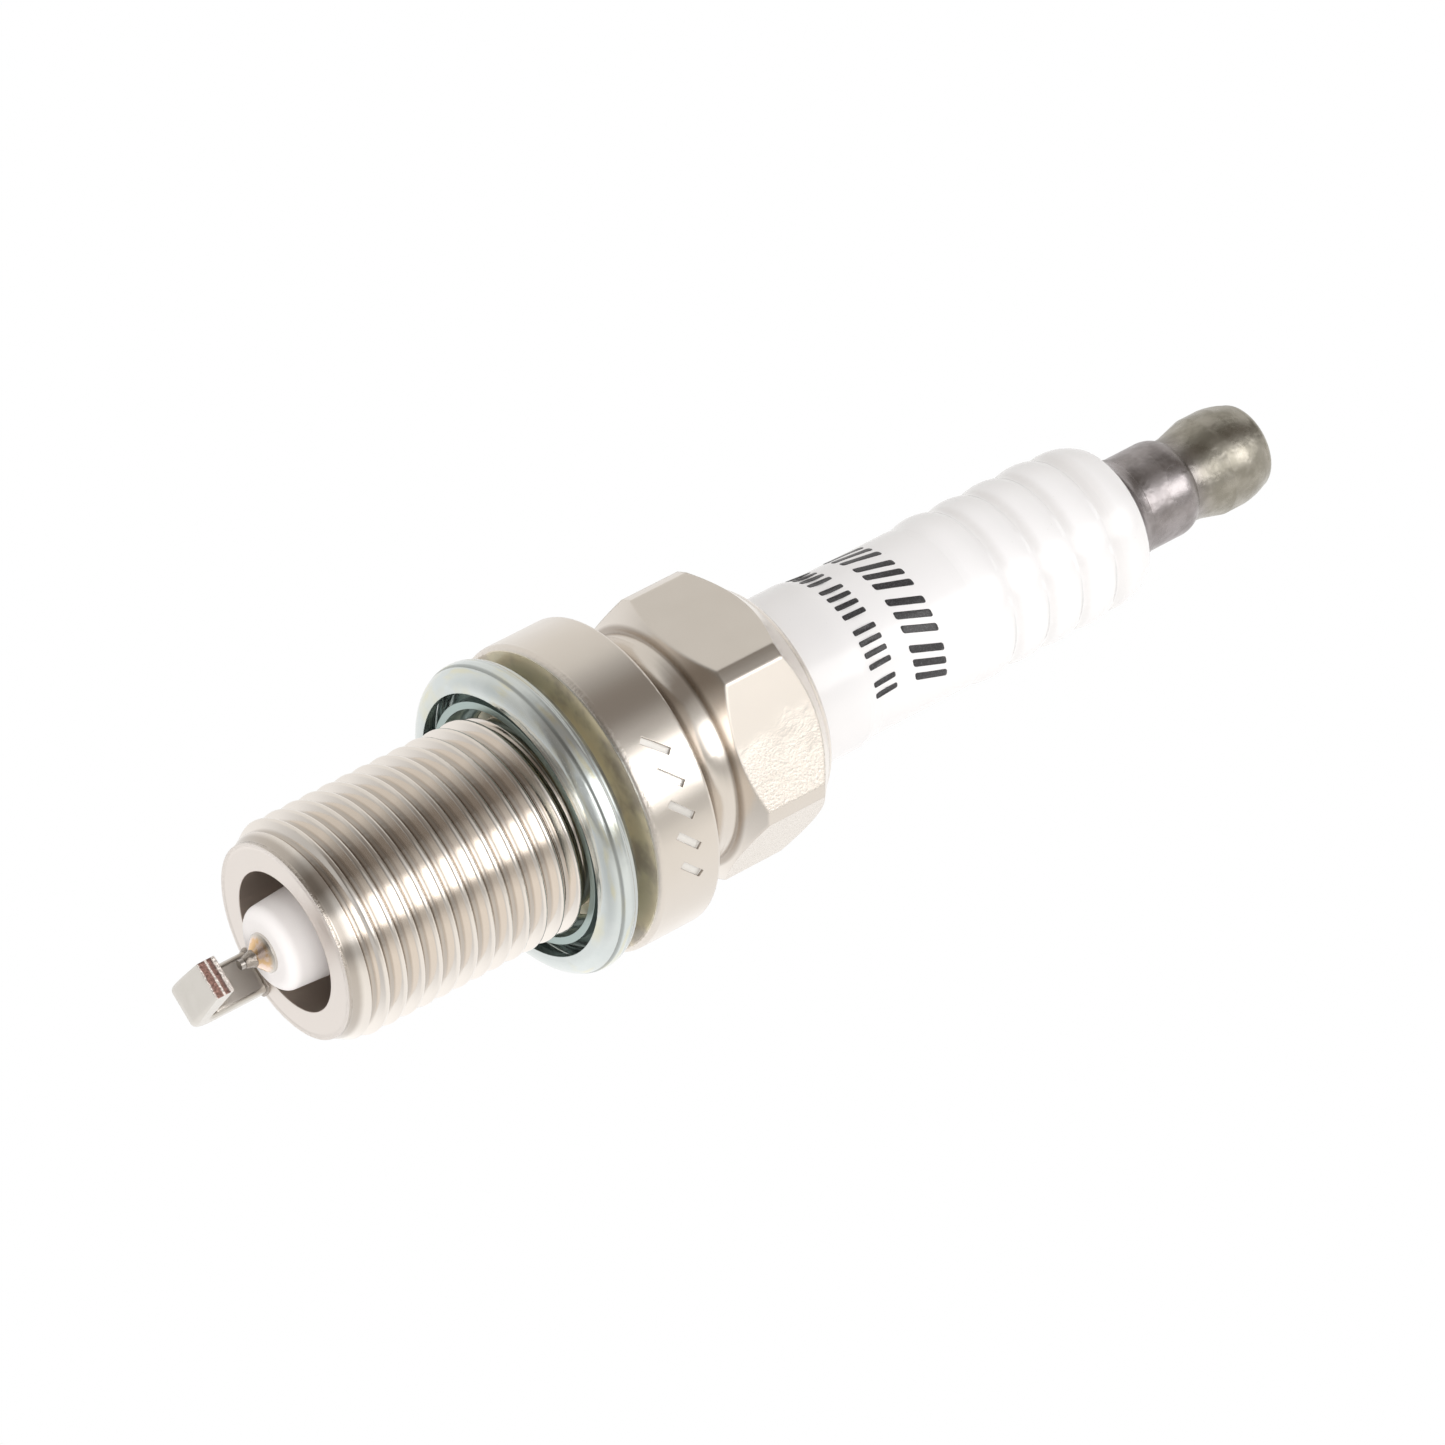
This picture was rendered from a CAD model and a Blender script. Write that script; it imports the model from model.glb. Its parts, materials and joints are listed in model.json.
import itertools
import json
import math

import bpy
from mathutils import Matrix, Vector, noise
from mathutils.bvhtree import BVHTree


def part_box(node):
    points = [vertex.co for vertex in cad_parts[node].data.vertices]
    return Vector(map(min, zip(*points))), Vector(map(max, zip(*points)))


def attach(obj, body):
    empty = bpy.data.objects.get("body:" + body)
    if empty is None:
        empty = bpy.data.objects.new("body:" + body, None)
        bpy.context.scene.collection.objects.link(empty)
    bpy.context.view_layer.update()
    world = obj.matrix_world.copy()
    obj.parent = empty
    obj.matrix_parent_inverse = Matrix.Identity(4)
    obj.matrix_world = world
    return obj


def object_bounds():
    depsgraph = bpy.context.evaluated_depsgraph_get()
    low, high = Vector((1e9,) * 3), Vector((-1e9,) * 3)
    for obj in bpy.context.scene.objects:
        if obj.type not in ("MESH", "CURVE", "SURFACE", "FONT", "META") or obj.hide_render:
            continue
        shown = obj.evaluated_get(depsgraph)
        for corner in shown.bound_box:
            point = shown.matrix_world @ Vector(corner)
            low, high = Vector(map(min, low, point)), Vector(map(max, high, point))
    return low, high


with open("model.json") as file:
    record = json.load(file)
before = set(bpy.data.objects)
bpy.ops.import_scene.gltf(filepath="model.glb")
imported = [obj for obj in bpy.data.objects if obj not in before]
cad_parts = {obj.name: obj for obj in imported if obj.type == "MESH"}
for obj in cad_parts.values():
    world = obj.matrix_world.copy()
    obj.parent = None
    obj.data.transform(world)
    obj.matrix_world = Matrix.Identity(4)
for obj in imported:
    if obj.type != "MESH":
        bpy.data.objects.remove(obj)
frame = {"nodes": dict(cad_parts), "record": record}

MM = 0.001
CAD_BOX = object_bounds()
NODES = frame["nodes"]


# ---------------------------------------------------------------- places on the plug, in millimetres


def spark_end_of(node):
    """The lowest X of a CAD node, because the spark end is at -X."""
    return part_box(node)[0].x / MM


SHELL_END_AT = spark_end_of("metal_shell")
BORE_RADIUS = 4.4
THREAD_END_AT = -2.0
THREAD_ROOT_RADIUS = 6.3
THREAD_ROOT_DEPTH = 0.22
CHAMFER_RADIUS = 5.8
FLANGE_AT = 0.0
FLANGE_END_AT = 4.35
FLANGE_RADIUS = 9.81
STROKES_FROM, STROKES_TO = 0.6, 3.9
CREASE_FROM, CREASE_TO = 7.56, 7.68
HEX_START_AT = 7.5
HEX_FLAT_RADIUS = 8.0
GASKET_FOLD_RADIUS = 8.35
GASKET_SEAM_AT = -2.69
GASKET_BACK_HALF_AT = -1.9
RIBS_FROM, RIBS_TO = 30.2, 39.4
RIB_VALLEY_RADIUS = 5.08
NOSE_FROM, GLAZE_FROM = -9.0, -8.0
CONE_BASE_AT = -21.05
CONE_RADIUS = 1.24
STRAP_ANGLE = math.radians(-55.4)
STRAP_FOOT_RADIUS = 5.64
STRAP_THICKNESS = 1.25
STRAP_OUTER_AT = spark_end_of("ground_electrode")
STRAP_END_FACE_AT = -0.15
NUT_BALL_FROM, NUT_BALL_TO = 46.0, 48.6
THIN_PRINT_AT, BOLD_PRINT_AT = 20.5, 23.9
PRINT_SPAN = (53.0, 176.0)


# ---------------------------------------------------------------- node materials


class Nodes:
    """Short calls that add nodes to a tree."""

    def __init__(self, tree):
        self.tree = tree

    def node(self, kind, **settings):
        made = self.tree.nodes.new(kind)
        for name, value in settings.items():
            setattr(made, name, value)
        return made

    def put(self, source, socket):
        """Link an output into a socket, or set the socket to a plain value."""
        if isinstance(source, bpy.types.NodeSocket):
            self.tree.links.new(source, socket)
        else:
            socket.default_value = source

    def math(self, operation, *values):
        made = self.node("ShaderNodeMath", operation=operation)
        for value, socket in zip(values, made.inputs):
            self.put(value, socket)
        return made.outputs[0]

    def plus(self, first, second):
        return self.math("ADD", first, second)

    def times(self, first, second):
        return self.math("MULTIPLY", first, second)

    def between(self, value, low, high):
        """0 below low, 1 above high and smooth between. Low above high turns it round."""
        made = self.node("ShaderNodeMapRange", interpolation_type="SMOOTHSTEP")
        self.put(value, made.inputs["Value"])
        made.inputs["From Min"].default_value = min(low, high)
        made.inputs["From Max"].default_value = max(low, high)
        made.inputs["To Min"].default_value = 0.0 if low < high else 1.0
        made.inputs["To Max"].default_value = 1.0 if low < high else 0.0
        return made.outputs[0]

    def within(self, value, low, high, soft):
        """1 from low to high, and 0 beyond soft outside them."""
        return self.times(self.between(value, low - soft, low), self.between(value, high + soft, high))

    def ramp(self, factor, stops):
        made = self.node("ShaderNodeValToRGB")
        self.put(factor, made.inputs[0])
        elements = made.color_ramp.elements
        while len(elements) < len(stops):
            elements.new(0.5)
        for element, (position, color) in zip(elements, stops):
            element.position = position
            element.color = (*color, 1.0)
        return made.outputs[0]

    def mix(self, factor, first, second):
        made = self.node("ShaderNodeMix", data_type="RGBA")
        self.put(factor, made.inputs["Factor"])
        for value, socket in ((first, made.inputs[6]), (second, made.inputs[7])):
            self.put((*value, 1.0) if isinstance(value, tuple) else value, socket)
        return made.outputs[2]

    def blend(self, factor, first, second):
        """A number between first and second."""
        made = self.node("ShaderNodeMix", data_type="FLOAT")
        self.put(factor, made.inputs["Factor"])
        self.put(first, made.inputs[2])
        self.put(second, made.inputs[3])
        return made.outputs[0]


class Look(Nodes):
    """A Principled material. Coordinates are millimetres on the part."""

    def __init__(self, name, **sockets):
        self.material = bpy.data.materials.new(name)
        self.material.use_nodes = True
        super().__init__(self.material.node_tree)
        self.shader = self.tree.nodes["Principled BSDF"]
        for socket, value in sockets.items():
            self.shader.inputs[socket.replace("_", " ")].default_value = value
        place = self.node("ShaderNodeTexCoord")
        scaled = self.node("ShaderNodeVectorMath", operation="SCALE")
        scaled.inputs["Scale"].default_value = 1 / MM
        self.tree.links.new(place.outputs["Object"], scaled.inputs[0])
        self.place = scaled.outputs[0]
        parts = self.node("ShaderNodeSeparateXYZ")
        self.tree.links.new(self.place, parts.inputs[0])
        self.x, self.y, self.z = parts.outputs

    def radius(self):
        return self.math("SQRT", self.plus(self.times(self.y, self.y), self.times(self.z, self.z)))

    def noise(self, scale, detail=3.0, rough=0.55, stretch=(1.0, 1.0, 1.0)):
        """Noise with about scale lumps to the millimetre, squeezed by stretch along each axis."""
        stretched = self.node("ShaderNodeVectorMath", operation="MULTIPLY")
        self.tree.links.new(self.place, stretched.inputs[0])
        stretched.inputs[1].default_value = stretch
        made = self.node("ShaderNodeTexNoise")
        self.tree.links.new(stretched.outputs[0], made.inputs["Vector"])
        made.inputs["Scale"].default_value = scale
        made.inputs["Detail"].default_value = detail
        made.inputs["Roughness"].default_value = rough
        return made.outputs["Fac"]

    def specks(self, scale, size):
        """1 in small round specks, with about scale cells to the millimetre."""
        made = self.node("ShaderNodeTexVoronoi")
        self.tree.links.new(self.place, made.inputs["Vector"])
        made.inputs["Scale"].default_value = scale
        return self.between(made.outputs["Distance"], size, size * 0.4)

    def color(self, source):
        self.put(source, self.shader.inputs["Base Color"])

    def roughness(self, source):
        self.put(source, self.shader.inputs["Roughness"])

    def surface(self, heights, edge=0.0):
        """Relief from (height, depth in millimetres) pairs, over edges rounded by edge metres."""
        normal = None
        if edge:
            bevel = self.node("ShaderNodeBevel", samples=6)
            self.put(edge, bevel.inputs["Radius"])
            normal = bevel.outputs[0]
        for height, depth in heights:
            bump = self.node("ShaderNodeBump")
            bump.inputs["Strength"].default_value = 1.0
            bump.inputs["Distance"].default_value = depth * MM
            self.put(height, bump.inputs["Height"])
            if normal is not None:
                self.put(normal, bump.inputs["Normal"])
            normal = bump.outputs[0]
        self.put(normal, self.shader.inputs["Normal"])


class Sky(Nodes):
    """A world whose colour follows the direction: its part along X, and its angle about X in degrees."""

    def __init__(self, world):
        world.use_nodes = True
        super().__init__(world.node_tree)
        self.tree.nodes.clear()
        place = self.node("ShaderNodeTexCoord")
        parts = self.node("ShaderNodeSeparateXYZ")
        self.tree.links.new(place.outputs["Generated"], parts.inputs[0])
        self.x = parts.outputs[0]
        turn = self.math("ARCTAN2", parts.outputs[2], parts.outputs[1])
        self.angle = self.times(turn, 180 / math.pi)

    def color(self, source):
        background = self.node("ShaderNodeBackground")
        background.inputs["Strength"].default_value = WORLD_STRENGTH
        self.put(source, background.inputs["Color"])
        output = self.node("ShaderNodeOutputWorld")
        self.tree.links.new(background.outputs[0], output.inputs["Surface"])


class ShellAreas:
    """Masks of the shell's areas: each is 1 on its area and 0 elsewhere."""

    def __init__(self, look):
        x, radius, both, between = look.x, look.radius(), look.times, look.between
        self.end_face = between(x, SHELL_END_AT + 0.04, SHELL_END_AT + 0.01)
        self.burred = both(between(x, SHELL_END_AT + 0.3, SHELL_END_AT + 0.1),
                           between(radius, CHAMFER_RADIUS, CHAMFER_RADIUS + 0.2))
        self.bore = both(between(radius, BORE_RADIUS + 0.07, BORE_RADIUS),
                         between(x, FLANGE_AT, THREAD_END_AT))
        self.threaded = between(x, THREAD_END_AT + 0.1, THREAD_END_AT)
        self.roots = both(self.threaded,
                          between(radius, THREAD_ROOT_RADIUS + THREAD_ROOT_DEPTH, THREAD_ROOT_RADIUS))
        self.underside = both(between(x, FLANGE_AT + 0.04, FLANGE_AT),
                              between(x, THREAD_END_AT, THREAD_END_AT + 0.1))
        self.flange = both(between(x, FLANGE_AT, FLANGE_AT + 0.05),
                           between(x, FLANGE_END_AT + 0.1, FLANGE_END_AT))
        self.front_rim = both(between(x, FLANGE_AT + 0.5, FLANGE_AT + 0.3),
                              between(radius, FLANGE_RADIUS - 0.41, FLANGE_RADIUS - 0.31))
        stamped = both(look.within(x, STROKES_FROM, STROKES_TO, 0.2),
                       between(radius, FLANGE_RADIUS - 0.51, FLANGE_RADIUS - 0.41))
        self.stroke_floors = both(stamped, between(radius, FLANGE_RADIUS - 0.15, FLANGE_RADIUS - 0.18))
        self.stroke_walls = both(stamped, between(radius, FLANGE_RADIUS - 0.025, FLANGE_RADIUS - 0.045))
        self.crease = both(between(x, CREASE_FROM - 0.21, CREASE_FROM),
                           between(x, CREASE_TO + 0.18, CREASE_TO))
        self.hexagon = between(x, HEX_START_AT - 0.3, HEX_START_AT)
        across = self.across_flats(look)
        self.hex_flats = both(between(across, HEX_FLAT_RADIUS - 0.03, HEX_FLAT_RADIUS - 0.01),
                              between(x, HEX_START_AT - 0.2, HEX_START_AT + 0.1))

    @staticmethod
    def across_flats(look):
        """Distance from the axis, measured square to the nearest of the hexagon's six flats."""
        across = look.math("ABSOLUTE", look.z)
        for side in (-1.0, 1.0):
            along = look.plus(look.times(look.y, math.cos(math.radians(30)) * side), look.times(look.z, 0.5))
            across = look.math("MAXIMUM", across, look.math("ABSOLUTE", along))
        return across


def shell_plating():
    """Bright nickel plate: satin end face, burnt bore, turned bands, hex flats blasted low down."""
    look = Look("shell_plating", Metallic=1.0)
    areas = ShellAreas(look)
    cloud = look.noise(0.35, detail=4.0)
    fine = look.noise(26.0, detail=3.0)
    grains = look.noise(6.0, detail=5.0, rough=0.7)
    patches = look.plus(look.z, look.times(look.math("SUBTRACT", cloud, 0.5), 9.0))
    blasted = look.times(areas.hex_flats, look.between(patches, 5.2, 1.6))
    shell_colors(look, areas, cloud)
    rough = look.plus(look.blend(areas.threaded, 0.13, 0.06), look.times(cloud, 0.07))
    rough = look.plus(rough, look.times(areas.flange, 0.05))
    rough = look.blend(areas.hex_flats, rough, look.plus(0.20, look.times(cloud, 0.08)))
    rough = look.blend(blasted, rough, look.plus(0.16, look.times(grains, 0.22)))
    rough = look.blend(areas.end_face, rough, look.plus(0.26, look.times(fine, 0.16)))
    look.roughness(look.blend(areas.bore, rough, 0.4))
    turned = look.noise(9.0, detail=2.0, stretch=(1.0, 0.03, 0.03))
    blast = look.times(grains, look.blend(blasted, 0.04, 1.0))
    knocked = look.plus(areas.burred, look.times(areas.front_rim, 0.4))
    nicks = look.times(look.noise(2.6, detail=4.0, rough=0.7), knocked)
    rounding = look.blend(areas.threaded, look.blend(areas.hexagon, 0.05 * MM, 0.24 * MM), 0.09 * MM)
    look.surface([(turned, 0.0012), (blast, 0.02), (fine, 0.001), (nicks, 0.07)], edge=rounding)
    return look.material


def shell_colors(look, areas, cloud):
    """Warm nickel, brighter on the thread, with tarnish in its roots, under the flange and in the bore."""
    plate = look.mix(cloud, (0.80, 0.745, 0.69), (0.755, 0.70, 0.64))
    plate = look.mix(look.times(areas.threaded, 0.5), plate, (0.97, 0.92, 0.87))
    shaded = look.plus(look.times(areas.roots, 0.5), look.times(areas.crease, 0.6))
    plate = look.mix(shaded, plate, (0.26, 0.21, 0.165))
    gilt = look.between(look.noise(0.22, detail=4.0, rough=0.6), 0.44, 0.60)
    plate = look.mix(areas.underside, plate, look.mix(gilt, (0.97, 0.86, 0.64), (0.60, 0.53, 0.45)))
    plate = look.mix(areas.stroke_walls, plate, (0.36, 0.32, 0.28))
    plate = look.mix(look.times(areas.stroke_floors, 0.8), plate, (0.98, 0.96, 0.93))
    plate = look.mix(areas.end_face, plate, (0.88, 0.82, 0.775))
    look.color(look.mix(areas.bore, plate, (0.56, 0.48, 0.42)))
    metallic = look.blend(areas.underside, look.blend(areas.bore, 1.0, 0.75), 0.45)
    look.put(look.blend(areas.stroke_floors, metallic, 0.3), look.shader.inputs["Metallic"])


def electrode_alloy():
    """Bare nickel alloy: drawn along the strap, heat tint on the cone, torn stripes on the sheared end."""
    look = Look("electrode_alloy", Metallic=1.0)
    cloud = look.noise(0.9, detail=4.0)
    drawn = look.noise(14.0, detail=3.0, stretch=(0.12, 1.0, 1.0))
    grains = look.noise(22.0, detail=4.0, rough=0.7)
    alloy = look.mix(cloud, (0.72, 0.69, 0.65), (0.64, 0.61, 0.56))
    before_base = look.between(look.x, CONE_BASE_AT + 0.03, CONE_BASE_AT - 0.03)
    before_strap = look.between(look.x, CONE_BASE_AT - 1.55, CONE_BASE_AT - 1.45)
    cone = look.times(before_base, before_strap)
    heat = look.times(cone, look.between(look.radius(), CONE_RADIUS, CONE_RADIUS - 0.29))
    straw, rose = (0.90, 0.62, 0.36), (0.95, 0.76, 0.66)
    tint = look.mix(look.between(look.noise(1.6, detail=2.0), 0.42, 0.58), straw, rose)
    alloy = look.mix(heat, alloy, tint)
    outward = look.plus(look.times(look.y, math.cos(STRAP_ANGLE)), look.times(look.z, math.sin(STRAP_ANGLE)))
    end_face = look.between(outward, STRAP_END_FACE_AT + 0.03, STRAP_END_FACE_AT)
    on_strap = look.between(look.x, STRAP_OUTER_AT + 2.15, STRAP_OUTER_AT + 2.05)
    sheared = look.times(end_face, on_strap)
    torn = look.noise(5.0, detail=4.0, rough=0.7)
    depth = look.math("DIVIDE", look.math("SUBTRACT", look.x, STRAP_OUTER_AT), STRAP_THICKNESS)
    depth = look.plus(depth, look.times(look.math("SUBTRACT", torn, 0.5), 0.16))
    brown, dark, pale = (0.34, 0.20, 0.17), (0.20, 0.13, 0.115), (0.90, 0.84, 0.80)
    stripes = look.ramp(depth, [(0.05, pale), (0.11, brown), (0.40, brown), (0.45, pale), (0.51, pale),
                                (0.57, brown), (0.76, dark), (0.83, pale)])
    look.color(look.mix(sheared, alloy, stripes))
    rough = look.plus(0.18, look.times(grains, 0.14))
    look.roughness(look.blend(heat, rough, 0.09))
    tear = look.times(torn, sheared)
    look.surface([(drawn, 0.006), (grains, 0.004), (tear, 0.06)], edge=0.06 * MM)
    return look.material


def gasket_plating():
    """Clear zinc plate with a faint blue, green and straw iridescence, and draw lines on its back."""
    look = Look("gasket_plating", Metallic=0.9)
    cloud = look.noise(0.45, detail=3.0)
    bands = look.noise(0.9, detail=2.0, stretch=(2.2, 0.35, 0.35))
    fine = look.noise(18.0, detail=3.0, stretch=(1.0, 0.2, 0.2))
    cool = look.mix(cloud, (0.64, 0.70, 0.70), (0.77, 0.80, 0.79))
    straw = look.mix(look.between(bands, 0.50, 0.74), cool, (0.76, 0.75, 0.60))
    back = look.between(look.x, GASKET_BACK_HALF_AT - 0.4, GASKET_BACK_HALF_AT)
    inside = look.between(look.radius(), GASKET_FOLD_RADIUS + 0.1, GASKET_FOLD_RADIUS - 0.1)
    plated = look.mix(look.times(back, 0.4), straw, (0.42, 0.45, 0.45))
    seam = look.within(look.x, GASKET_SEAM_AT - 0.03, GASKET_SEAM_AT + 0.03, 0.14)
    plated = look.mix(look.times(seam, 0.75), plated, (0.30, 0.32, 0.31))
    look.color(look.mix(inside, plated, (0.45, 0.55, 0.53)))
    rough = look.plus(0.07, look.times(fine, 0.07))
    look.roughness(look.blend(inside, rough, 0.30))
    line_pitch = 0.42
    lines = look.times(look.math("SINE", look.times(look.x, 2 * math.pi / line_pitch)), back)
    look.surface([(fine, 0.003), (cloud, 0.02), (lines, 0.02)], edge=0.05 * MM)
    return look.material


def glazed_ceramic():
    """White alumina: clear glaze above the shell, matte and specked on the nose."""
    look = Look("glazed_ceramic", Coat_Roughness=0.04, IOR=1.55)
    nose = look.between(look.x, GLAZE_FROM, NOSE_FROM)
    cloud = look.noise(0.3, detail=3.0)
    fine = look.noise(12.0, detail=4.0)
    dots = look.specks(1.1, 0.06)
    glaze = look.mix(cloud, (0.895, 0.888, 0.902), (0.92, 0.909, 0.923))
    ribbed = look.times(look.between(look.x, RIBS_FROM - 0.6, RIBS_FROM),
                        look.between(look.x, RIBS_TO + 0.4, RIBS_TO))
    valleys = look.times(ribbed, look.between(look.radius(), RIB_VALLEY_RADIUS + 0.12, RIB_VALLEY_RADIUS))
    glaze = look.mix(valleys, glaze, (0.83, 0.815, 0.82))
    bisque = look.mix(cloud, (0.94, 0.905, 0.90), (0.96, 0.93, 0.925))
    body = look.mix(nose, glaze, bisque)
    look.color(look.mix(look.times(dots, look.blend(nose, 0.10, 0.55)), body, (0.32, 0.29, 0.27)))
    look.roughness(look.blend(nose, look.plus(0.09, look.times(cloud, 0.05)), 0.62))
    look.surface([(cloud, 0.012), (look.times(fine, look.blend(nose, 0.1, 1.0)), 0.01)])
    return look.material


def dark_steel():
    """Dark satin plated steel: mottled grey skirt, olive ball, fine turning lines and rubbed patches."""
    look = Look("dark_steel", Metallic=1.0)
    cloud = look.between(look.noise(0.75, detail=5.0, rough=0.6), 0.36, 0.64)
    patches = look.between(look.noise(0.45, detail=3.0), 0.40, 0.62)
    turned = look.noise(10.0, detail=2.0, stretch=(1.0, 0.04, 0.04))
    grains = look.noise(16.0, detail=4.0, rough=0.65)
    skirt = look.mix(cloud, (0.30, 0.275, 0.275), (0.40, 0.37, 0.375))
    ball = look.mix(cloud, (0.31, 0.29, 0.245), (0.42, 0.395, 0.345))
    look.color(look.mix(look.between(look.x, NUT_BALL_FROM, NUT_BALL_TO), skirt, ball))
    rough = look.plus(0.19, look.times(patches, 0.14))
    look.roughness(look.plus(rough, look.times(grains, 0.12)))
    look.surface([(turned, 0.004), (grains, 0.006), (patches, 0.03)], edge=0.08 * MM)
    return look.material


def simple_metal(name, first, second, rough, relief=0.004):
    look = Look(name, Metallic=1.0)
    cloud = look.noise(1.5, detail=4.0)
    grains = look.noise(14.0, detail=4.0)
    look.color(look.mix(cloud, first, second))
    look.roughness(look.plus(rough, look.times(grains, 0.15)))
    look.surface([(grains, relief)])
    return look.material


def mineral(name, first, second, rough, relief=0.02):
    look = Look(name)
    cloud = look.noise(1.2, detail=4.0)
    grains = look.noise(9.0, detail=5.0, rough=0.7)
    look.color(look.mix(look.times(look.plus(cloud, grains), 0.5), first, second))
    look.roughness(look.plus(rough, look.times(grains, 0.2)))
    look.surface([(grains, relief)])
    return look.material


def printed_ink():
    """Black ceramic ink, slightly thin in places."""
    look = Look("printed_ink", IOR=1.5)
    grains = look.noise(9.0, detail=4.0, rough=0.7)
    look.color(look.mix(look.between(grains, 0.45, 0.75), (0.030, 0.029, 0.032), (0.10, 0.098, 0.105)))
    look.roughness(look.plus(0.22, look.times(grains, 0.2)))
    look.surface([(grains, 0.006)])
    return look.material


FINISHES = {
    "shell_plating": shell_plating(),
    "electrode_alloy": electrode_alloy(),
    "gasket_plating": gasket_plating(),
    "glazed_ceramic": glazed_ceramic(),
    "dark_steel": dark_steel(),
    "copper": simple_metal("copper", (0.72, 0.40, 0.27), (0.62, 0.33, 0.22), 0.30),
    "iridium": simple_metal("iridium", (0.58, 0.55, 0.52), (0.46, 0.43, 0.40), 0.22),
    "packing_steel": simple_metal("packing_steel", (0.50, 0.50, 0.51), (0.40, 0.40, 0.42), 0.35),
    "seal_glass": mineral("seal_glass", (0.30, 0.18, 0.11), (0.42, 0.26, 0.16), 0.35),
    "resistor_mass": mineral("resistor_mass", (0.05, 0.05, 0.055), (0.11, 0.11, 0.12), 0.45),
    "talc": mineral("talc", (0.80, 0.79, 0.75), (0.90, 0.88, 0.85), 0.75),
}
WELD = simple_metal("weld_metal", (0.52, 0.47, 0.42), (0.30, 0.26, 0.23), 0.18, relief=0.02)
INK = printed_ink()


def dress_cad_nodes():
    """Give each CAD node its finish from the record's material slot."""
    for entry in frame["record"]["subparts"]:
        mesh = NODES[entry["node"]].data
        mesh.materials.clear()
        mesh.materials.append(FINISHES[entry["material_slot"]])


# ---------------------------------------------------------------- added pieces


def add_piece(name, points, faces, material):
    """A smooth piece fixed to the plug's body, from points in millimetres."""
    mesh = bpy.data.meshes.new(name)
    mesh.from_pydata([point * MM for point in points], [], faces)
    mesh.validate()
    mesh.materials.append(material)
    for polygon in mesh.polygons:
        polygon.use_smooth = True
    piece = bpy.data.objects.new(name, mesh)
    bpy.context.scene.collection.objects.link(piece)
    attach(piece, "root")


def on_ring(x, radius, degrees):
    angle = math.radians(degrees)
    return Vector((x, radius * math.cos(angle), radius * math.sin(angle)))


def band(here, there, count):
    """Quads between two closed loops of count points, from the numbers of their first points."""
    return [(here + i, here + (i + 1) % count, there + (i + 1) % count, there + i) for i in range(count)]


def rounded_rectangle(wide, high, corner, arc_steps, side_steps=1):
    """Points round a rectangle with round corners, with its middle at the origin."""
    x, y = wide / 2 - corner, high / 2 - corner
    arcs = []
    for quadrant, middle in enumerate(((x, y), (-x, y), (-x, -y), (x, -y))):
        turns = [math.radians(90 * (quadrant + step / arc_steps)) for step in range(arc_steps + 1)]
        arcs.append([Vector(middle) + corner * Vector((math.cos(turn), math.sin(turn))) for turn in turns])
    outline = []
    for arc, following in zip(arcs, arcs[1:] + arcs[:1]):
        side = [arc[-1].lerp(following[0], step / side_steps) for step in range(1, side_steps)]
        outline += arc + side
    return outline


class PrintedRow:
    """Plain printed strokes round the insulator: each is a thin raised patch that follows its surface.

    A patch is made of rings, each a share of the stroke's size, from a skirt sunk in the glaze inwards.
    """

    RINGS = (1.0, 0.86, 0.55, 0.25)
    RAISED = 0.018
    SUNK = 0.03
    PRINT_RADIUS = 5.2
    RAY_RADIUS = 12.0

    def __init__(self):
        source = NODES["insulator"].data
        corners = [vertex.co / MM for vertex in source.vertices]
        self.surface = BVHTree.FromPolygons(corners, [tuple(face.vertices) for face in source.polygons])
        self.points = []
        self.faces = []

    def surface_point(self, x, degrees, height):
        hit = self.surface.ray_cast(on_ring(x, self.RAY_RADIUS, degrees), -on_ring(0.0, 1.0, degrees))[0]
        return on_ring(x, math.hypot(hit.y, hit.z) + height, degrees)

    def add_stroke(self, x, degrees, length, width, lean=0.0):
        """One stroke with round corners: length along X, width round the axis, both in millimetres."""
        outline = rounded_rectangle(width, length, min(length, width) * 0.3, arc_steps=3)
        rings = [(1.0, -self.SUNK), *((share, self.RAISED) for share in self.RINGS)]
        first = len(self.points)
        for share, height in rings:
            for across, along in outline:
                around = math.degrees((across + along * lean) * share / self.PRINT_RADIUS)
                self.points.append(self.surface_point(x + along * share, degrees + around, height))
        self.points.append(self.surface_point(x, degrees, self.RAISED))
        count = len(outline)
        for ring in range(len(rings) - 1):
            base = first + ring * count
            self.faces += band(base, base + count, count)
        base = first + (len(rings) - 1) * count
        self.faces += [(base + i, base + (i + 1) % count, len(self.points) - 1) for i in range(count)]

    def finish(self, name):
        add_piece(name, self.points, self.faces, INK)


def print_row(name, x, length, width, gaps, lean=0.0):
    """A row of equal strokes over the printed span, with the gaps taken in turn, in degrees."""
    row = PrintedRow()
    degrees, last = PRINT_SPAN
    for gap in itertools.cycle(gaps):
        if degrees > last:
            break
        row.add_stroke(x, degrees, length, width, lean)
        degrees += gap
    row.finish(name)


def print_rows():
    """Two rows of plain strokes, well apart: thin upright ones, then bold slanted ones."""
    print_row("printed_thin_bars", THIN_PRINT_AT, length=1.7, width=0.34, gaps=(8.0, 8.0, 8.0, 12.0))
    print_row("printed_bold_bars", BOLD_PRINT_AT, length=2.35, width=0.5, gaps=(10.0, 10.0, 14.0), lean=0.35)


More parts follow.
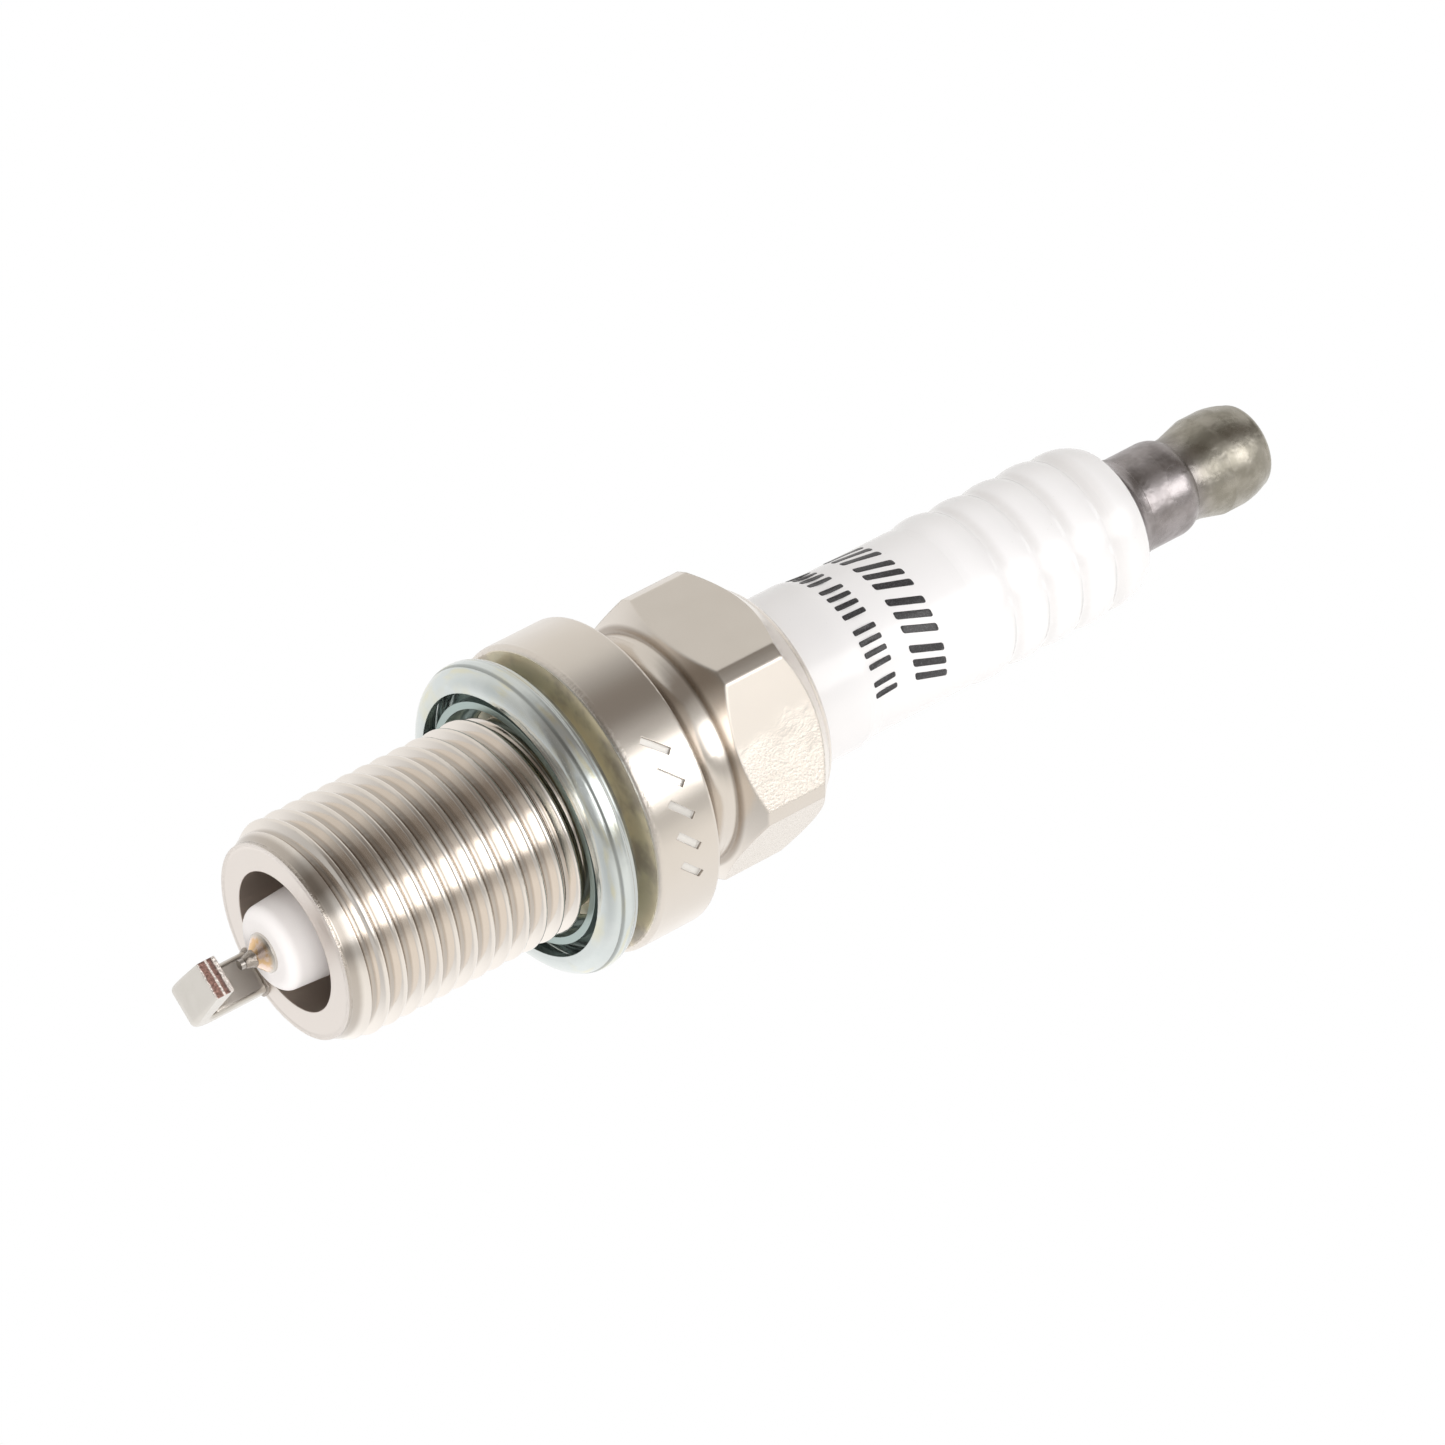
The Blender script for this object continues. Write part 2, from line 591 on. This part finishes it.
def tip_weld():
    """Laser weld that joins the fine wire to the electrode's cone: a collar that narrows on to the wire."""
    profile = [
        (-21.62, 0.36), (-21.66, 0.52), (-21.76, 0.54),
        (-21.88, 0.48), (-22.00, 0.43), (-22.12, 0.41),
        (-22.24, 0.38), (-22.36, 0.35), (-22.44, 0.27),
    ]
    steps, lump_height, lumps_per_mm = 72, 0.06, 6.0
    points = []
    for degrees in (360 * step / steps for step in range(steps)):
        for axial, radial in profile:
            lift = lump_height * noise.noise(on_ring(axial, radial, degrees) * lumps_per_mm)
            points.append(on_ring(axial + lift * 0.5, radial + lift, degrees))
    size = len(profile)
    faces = [face for step in range(steps) for face in band(step * size, (step + 1) % steps * size, size)]
    add_piece("tip_weld", points, faces, WELD)


def strap_weld():
    """Uneven bead where the ground electrode is welded on the shell's end face."""
    centre = on_ring(SHELL_END_AT, STRAP_FOOT_RADIUS, math.degrees(STRAP_ANGLE))
    outward = on_ring(0.0, 1.0, math.degrees(STRAP_ANGLE))
    axis = Vector((1, 0, 0))
    along = axis.cross(outward)
    wide, high, corner = 2.7, 1.24, 0.3
    bead_radius, lump_height, lumps_per_mm, section = 0.17, 0.07, 2.3, 10
    route = rounded_rectangle(wide, high, corner, arc_steps=8, side_steps=8)
    points = []
    for side, rise in route:
        middle = centre + along * side + outward * rise
        away = (along * side / wide + outward * rise / high).normalized()
        size = bead_radius + lump_height * noise.noise(middle * lumps_per_mm)
        for turn in (2 * math.pi * step / section for step in range(section)):
            points.append(middle + size * (away * math.cos(turn) - axis * math.sin(turn)))
    count = len(route)
    faces = [face for i in range(count) for face in band(i * section, (i + 1) % count * section, section)]
    add_piece("strap_weld", points, faces, WELD)


def add_pieces():
    print_rows()
    tip_weld()
    strap_weld()


# ---------------------------------------------------------------- stage, light and camera


WORLD_STRENGTH = 3.0
WINDOW_LEVEL = 3.0
NEUTRAL = (1.0, 0.99, 0.975)
TAN = (1.0, 0.975, 0.93)
BROWN = (1.0, 0.90, 0.80)
# Angle about X in degrees, where 0 is +Y and 90 is overhead, then brightness and tint.
WORLD_BANDS = (
    (-180, 0.60, TAN),
    (-170, 0.84, TAN),
    (-160, 0.98, TAN),
    (-100, 1.00, NEUTRAL),
    (-68, 1.12, NEUTRAL),
    (-48, 1.02, NEUTRAL),
    (-12, 0.92, NEUTRAL),
    (20, 0.83, TAN),
    (50, 0.74, TAN),
    (66, 0.46, TAN),
    (82, 0.25, BROWN),
    (102, 0.23, BROWN),
    (116, 0.50, TAN),
    (132, 0.80, NEUTRAL),
    (168, 0.66, TAN),
    (174, 0.56, TAN),
)
# Each edge of the window is where it is dark, then where it is bright: angles about X, or parts along X.
WINDOW_FRONT_EDGE = (124.0, 140.0)
WINDOW_LOW_EDGE = (170.0, 156.0)
WINDOW_SPARK_EDGE = (-0.80, -0.45)
WINDOW_TERMINAL_EDGE = (0.95, 0.60)
WINDOW_DIM_EDGE = (-0.05, 0.35)
WINDOW_DIM_SHARE = 0.45


def studio_world():
    """Soft studio surround that changes mostly with the angle about X.

    It has a pale floor, a mid-tone back and a dark ceiling, and darkens towards -X. A bright window hangs
    above the front, and is dimmer towards the spark end.
    """
    world = bpy.data.worlds.new("studio")
    bpy.context.scene.world = world
    sky = Sky(world)
    bands = sky.ramp(sky.plus(sky.math("DIVIDE", sky.angle, 360.0), 0.5),
                     [((degrees + 180) / 360, tuple(level * part / WORLD_STRENGTH for part in tint))
                      for degrees, level, tint in WORLD_BANDS])
    shade = sky.blend(sky.between(sky.x, -0.3, -0.95), 1.0, 0.6)
    window = sky.times(sky.between(sky.angle, *WINDOW_FRONT_EDGE), sky.between(sky.angle, *WINDOW_LOW_EDGE))
    window = sky.times(window, sky.between(sky.x, *WINDOW_SPARK_EDGE))
    window = sky.times(window, sky.blend(sky.between(sky.x, *WINDOW_DIM_EDGE), WINDOW_DIM_SHARE, 1.0))
    window = sky.times(window, sky.between(sky.x, *WINDOW_TERMINAL_EDGE))
    shaded = sky.mix(shade, (0.0, 0.0, 0.0), bands)
    sky.color(sky.mix(window, shaded, tuple(WINDOW_LEVEL * part / WORLD_STRENGTH for part in NEUTRAL)))


def stage_white():
    """Plain white that gives its own light, so that the floor has no shading."""
    material = bpy.data.materials.new("stage_white")
    material.use_nodes = True
    nodes = Nodes(material.node_tree)
    nodes.tree.nodes.clear()
    emission = nodes.node("ShaderNodeEmission")
    emission.inputs["Color"].default_value = (1.0, 1.0, 1.0, 1.0)
    nodes.put(emission.outputs[0], nodes.node("ShaderNodeOutputMaterial").inputs["Surface"])
    return material


def white_stage():
    """A plain pale floor that runs up into a dome, seen by the camera and by nothing else."""
    radius, sides, rises = 1.8, 48, range(0, 90, 10)
    floor = Vector((0, 0, CAD_BOX[0].z - 0.2 * MM))
    points = []
    for rise in map(math.radians, rises):
        across, height = radius * math.cos(rise), radius * math.sin(rise)
        for turn in (2 * math.pi * i / sides for i in range(sides)):
            points.append(floor + Vector((across * math.cos(turn), across * math.sin(turn), height)))
    points += [floor, floor + Vector((0, 0, radius))]
    middle, top, last_ring = len(points) - 2, len(points) - 1, (len(rises) - 1) * sides
    faces = [face for first in range(0, last_ring, sides) for face in band(first, first + sides, sides)]
    faces += [(middle, i, (i + 1) % sides) for i in range(sides)]
    faces += [(last_ring + i, last_ring + (i + 1) % sides, top) for i in range(sides)]
    mesh = bpy.data.meshes.new("studio_floor")
    mesh.from_pydata(points, [], faces)
    mesh.materials.append(stage_white())
    stage = bpy.data.objects.new("studio_floor", mesh)
    bpy.context.scene.collection.objects.link(stage)
    stage.visible_diffuse = False
    stage.visible_glossy = False
    stage.visible_transmission = False
    stage.visible_shadow = False


def soft_light(name, place, size, power):
    """A large square lamp that faces the part, adds soft light and shows in no reflection."""
    lamp = bpy.data.lights.new(name, "AREA")
    lamp.shape = "SQUARE"
    lamp.size = size
    lamp.energy = power
    light = bpy.data.objects.new(name, lamp)
    bpy.context.scene.collection.objects.link(light)
    light.location = place
    light.rotation_euler = (-Vector(place)).to_track_quat("-Z", "Y").to_euler()
    light.visible_camera = False
    light.visible_glossy = False


def add_lights():
    soft_light("front_fill", place=(-0.3, -0.9, 0.5), size=0.8, power=1.1)
    soft_light("back_fill", place=(0.1, 0.7, 0.9), size=0.8, power=2.2)
    soft_light("nose_fill", place=(-1.0, -0.3, 0.3), size=0.5, power=5.0)


CAMERA_AZIMUTH = math.radians(-38.416)
CAMERA_ELEVATION = math.radians(40.83)
CAMERA_DISTANCE = 482.18
CAMERA_RIGHT = 9.631
CAMERA_UP = 4.563
CAMERA_LENS = 207.07


def add_camera():
    """Long lens from above the spark end, at the angle of a product shot."""
    right = Vector((math.cos(CAMERA_AZIMUTH), math.sin(CAMERA_AZIMUTH), 0.0))
    level = Vector((right.y, -right.x, 0.0)) * math.cos(CAMERA_ELEVATION)
    back = level + Vector((0.0, 0.0, math.sin(CAMERA_ELEVATION)))
    up = back.cross(right)
    place = (back * CAMERA_DISTANCE + right * CAMERA_RIGHT + up * CAMERA_UP) * MM
    camera = bpy.data.cameras.new("camera")
    camera.lens = CAMERA_LENS
    camera.sensor_width = 36.0
    camera.clip_start = 0.01
    camera.clip_end = 10.0
    shot = bpy.data.objects.new("camera", camera)
    bpy.context.scene.collection.objects.link(shot)
    turn = Matrix((right, up, back)).transposed()
    shot.matrix_world = Matrix.Translation(place) @ turn.to_4x4()
    bpy.context.scene.camera = shot


def set_tone():
    settings = bpy.context.scene.view_settings
    settings.view_transform = "Standard"
    settings.look = "None"


dress_cad_nodes()
add_pieces()
studio_world()
white_stage()
add_lights()
add_camera()
set_tone()
